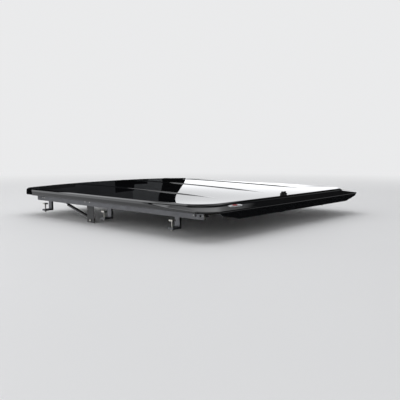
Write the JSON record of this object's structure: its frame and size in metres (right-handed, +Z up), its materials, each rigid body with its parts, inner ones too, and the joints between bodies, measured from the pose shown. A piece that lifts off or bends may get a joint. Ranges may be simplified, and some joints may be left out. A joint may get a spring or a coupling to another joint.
{
  "type": "tonneau cover",
  "caption": "Hard hinged pick-up bed lid in gloss black, with long raised ribs, a rear lock, gas struts and clamp-on side rails.",
  "frame": {"origin": "middle of the front rail's seat, on the plane of the bed rails", "axes": "+Y towards the hinge (cab) end, +Z up, +X to the vehicle's right"},
  "size_m": [1.574, 1.63, 0.2024],
  "materials": {
    "gloss_black_paint": "high gloss clear coat over black on moulded composite",
    "liner_black": "fine leather-like grain, satin",
    "rail_aluminium": "drawn, satin anodised",
    "zinc_steel": "bright zinc plate",
    "bracket_black": "satin black powder coat",
    "rubber_seal": "matt EPDM",
    "lock_black": "satin black, fine texture",
    "key_chrome": "polished",
    "strut_black": "semi-gloss black",
    "strut_chrome": "hard chrome, polished",
    "nylon_black": "moulded nylon",
    "bush_nylon": "natural nylon",
    "lens_clear": "frosted clear",
    "board_green": "circuit board lacquer"
  },
  "bodies": {
    "bed_frame": {"side_rail_left": "rail_aluminium", "side_rail_right": "rail_aluminium", "header_rail": "rail_aluminium", "corner_brackets": "zinc_steel", "corner_bolts": "zinc_steel", "rail_gaskets": "rubber_seal", "rail_clamps": "rail_aluminium", "clamp_bolts": "zinc_steel", "clamp_jaws": "zinc_steel", "hinge_base_left": "bracket_black", "hinge_base_right": "bracket_black", "hinge_pins": "zinc_steel", "hinge_base_bolts": "zinc_steel", "strut_bracket_left": "bracket_black", "strut_bracket_right": "bracket_black", "lower_ball_studs": "zinc_steel", "bracket_bolts": "zinc_steel", "striker_plates": "zinc_steel", "rest_buffers": "rubber_seal"},
    "lid": {"outer_shell": "gloss_black_paint", "inner_liner": "liner_black", "stiffener_frame": "rail_aluminium", "stiffener_ribs": "rail_aluminium", "perimeter_seal": "rubber_seal", "tailgate_seal": "rubber_seal", "hinge_leaf_left": "bracket_black", "hinge_leaf_right": "bracket_black", "hinge_bushes": "bush_nylon", "leaf_screws": "zinc_steel", "strut_lug_left": "bracket_black", "strut_lug_right": "bracket_black", "lock_base": "lock_black", "lock_gasket": "rubber_seal", "lock_nut": "zinc_steel", "latch_guides": "nylon_black", "lid_screws": "zinc_steel", "lamp_base": "nylon_black", "lamp_board": "board_green", "lamp_lens": "lens_clear", "badge_plate": "key_chrome"},
    "handle": {"lock_handle": "lock_black", "lock_cam": "zinc_steel", "cam_screw": "zinc_steel"},
    "key_plug": {"key_cylinder": "key_chrome"},
    "rod_left": {"lock_rod_left": "zinc_steel", "latch_bolt_left": "zinc_steel"},
    "rod_right": {"lock_rod_right": "zinc_steel", "latch_bolt_right": "zinc_steel"},
    "lamp_push": {"lamp_button": "nylon_black"},
    "strut_left_tube": {"strut_tube_left": "strut_black", "strut_socket_left": "nylon_black"},
    "strut_left_rod": {"strut_rod_left": "strut_chrome", "strut_ball_left": "nylon_black"},
    "strut_right_tube": {"strut_tube_right": "strut_black", "strut_socket_right": "nylon_black"},
    "strut_right_rod": {"strut_rod_right": "strut_chrome", "strut_ball_right": "nylon_black"}
  },
  "joints": [
    {"name": "lid_hinge", "type": "hinge", "parent": "bed_frame", "child": "lid", "pos_m": [0, 0.08, 0.002], "axis": [-1, 0, 0], "range_deg": [0, 34]},
    {"name": "handle_turn", "type": "hinge", "parent": "lid", "child": "handle", "pos_m": [0, -1.385, 0.04], "axis": [0, 0, -1], "range_deg": [0, 45]},
    {"name": "key_turn", "type": "hinge", "parent": "handle", "child": "key_plug", "pos_m": [0, -1.385, 0.045], "axis": [0, 0, -1], "range_deg": [0, 90]},
    {"name": "rod_left_slide", "type": "slide", "parent": "lid", "child": "rod_left", "axis": [-1, 0, 0], "range_m": [0, 0.0124]},
    {"name": "rod_right_slide", "type": "slide", "parent": "lid", "child": "rod_right", "axis": [1, 0, 0], "range_m": [0, 0.0124]},
    {"name": "lamp_press", "type": "slide", "parent": "lid", "child": "lamp_push", "axis": [0, 0, 1], "range_m": [0, 0.0015]},
    {"name": "strut_left_tilt", "type": "hinge", "parent": "bed_frame", "child": "strut_left_tube", "pos_m": [-0.69, -0.52, -0.118], "axis": [1, 0, 0], "range_deg": [0, 17]},
    {"name": "strut_left_extend", "type": "slide", "parent": "strut_left_tube", "child": "strut_left_rod", "axis": [0, 0.963, 0.2696], "range_m": [0, 0.0875]},
    {"name": "strut_right_tilt", "type": "hinge", "parent": "bed_frame", "child": "strut_right_tube", "pos_m": [0.69, -0.52, -0.118], "axis": [1, 0, 0], "range_deg": [0, 17]},
    {"name": "strut_right_extend", "type": "slide", "parent": "strut_right_tube", "child": "strut_right_rod", "axis": [0, 0.963, 0.2696], "range_m": [0, 0.0875]}
  ],
  "couplings": [
    {"joint": "rod_left_slide", "follows": "handle_turn", "m_per_rad": 0.015592},
    {"joint": "rod_right_slide", "follows": "handle_turn", "m_per_rad": 0.015592},
    {"joint": "strut_left_tilt", "follows": "lid_hinge", "ratio": 0.49327},
    {"joint": "strut_left_extend", "follows": "lid_hinge", "m_per_rad": 0.14693},
    {"joint": "strut_right_tilt", "follows": "lid_hinge", "ratio": 0.49327},
    {"joint": "strut_right_extend", "follows": "lid_hinge", "m_per_rad": 0.14693}
  ]
}
